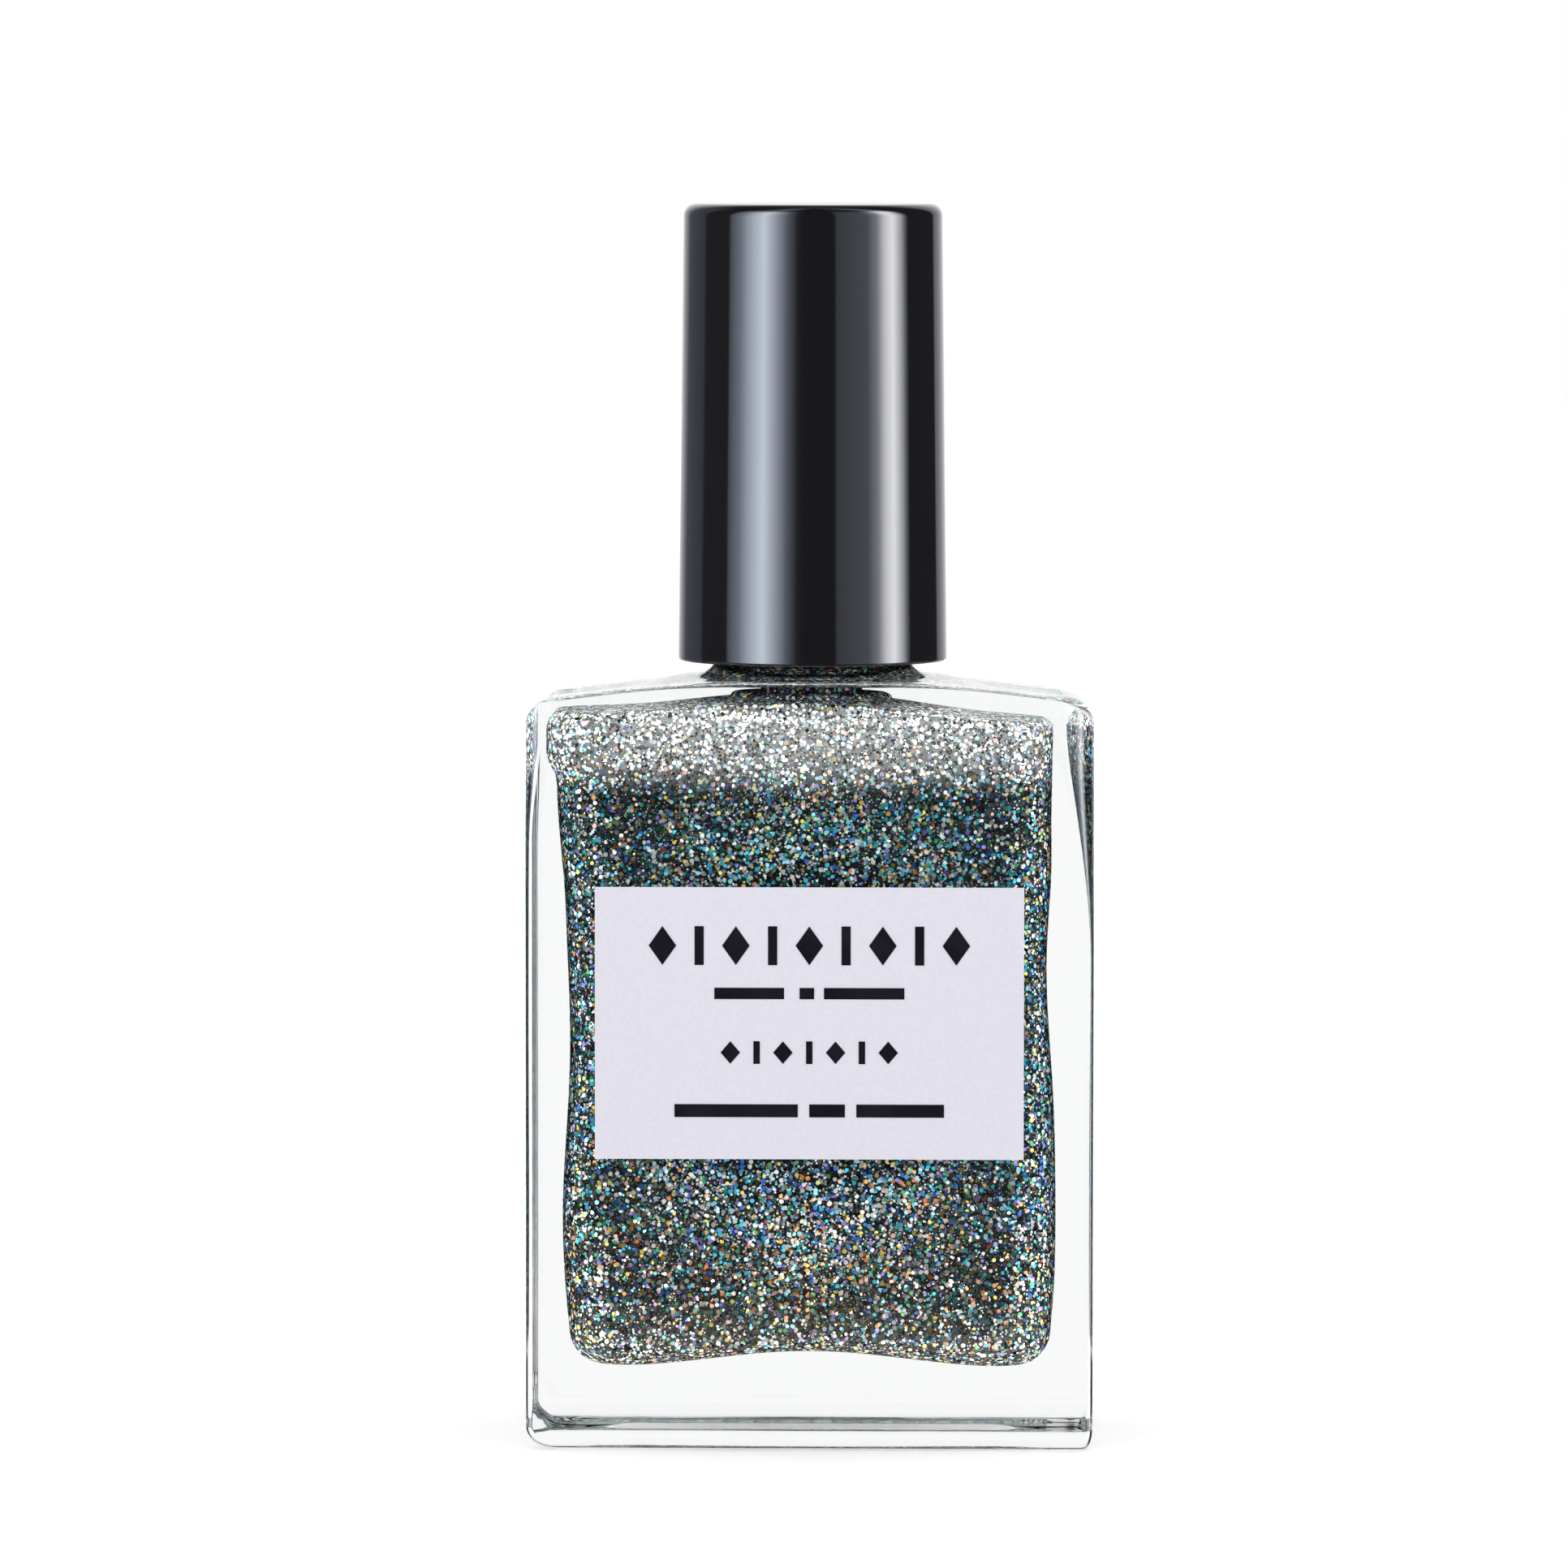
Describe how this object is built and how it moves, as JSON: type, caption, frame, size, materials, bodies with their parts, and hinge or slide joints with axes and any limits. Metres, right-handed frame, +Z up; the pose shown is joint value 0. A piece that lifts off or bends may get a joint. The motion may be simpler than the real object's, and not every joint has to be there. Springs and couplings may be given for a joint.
{
  "type": "nail polish bottle",
  "caption": "Flat rectangular glass bottle of glitter nail lacquer with a tall round black screw cap that carries a brush.",
  "frame": {"origin": "centre of the base, on the surface that the bottle stands on", "axes": "+Z up along the bottle, the label faces -Y, +X to the right of a reader of the label"},
  "size_m": [0.035, 0.0201, 0.0768],
  "materials": {
    "glass": "clear polished flint glass",
    "lacquer": "near-black green-grey lacquer full of fine holographic glitter",
    "ball_steel": "polished stainless steel",
    "label_paper": "satin pale lavender label stock",
    "ink": "raised gloss black ink",
    "base_paper": "plain white sticker",
    "seal": "soft foamed polyethylene",
    "cap_gloss": "high gloss black moulding",
    "inner_plastic": "satin black polypropylene",
    "stem_plastic": "translucent white polyethylene, wet with lacquer",
    "bristle": "fine black nylon filaments",
    "staple_brass": "flat brass wire"
  },
  "bodies": {
    "bottle": {"glass_bottle": "glass", "lacquer": "lacquer", "mixing_ball_left": "ball_steel", "mixing_ball_right": "ball_steel", "front_label": "label_paper", "label_print": "ink", "base_label": "base_paper"},
    "seal": {"seal_washer": "seal"},
    "closure": {"outer_cap": "cap_gloss", "inner_cap": "inner_plastic", "cap_tower": "inner_plastic", "brush_stem": "stem_plastic", "bristle_tuft": "bristle", "bristle_staple": "staple_brass"}
  },
  "joints": [
    {"name": "cap_lift", "type": "slide", "parent": "bottle", "child": "seal", "axis": [0, 0, 1], "range_m": [0, 0.056]},
    {"name": "cap_turn", "type": "hinge", "parent": "seal", "child": "closure", "pos_m": [0, 0, 0.05], "axis": [0, 0, 1], "range_deg": [0, 540]}
  ]
}
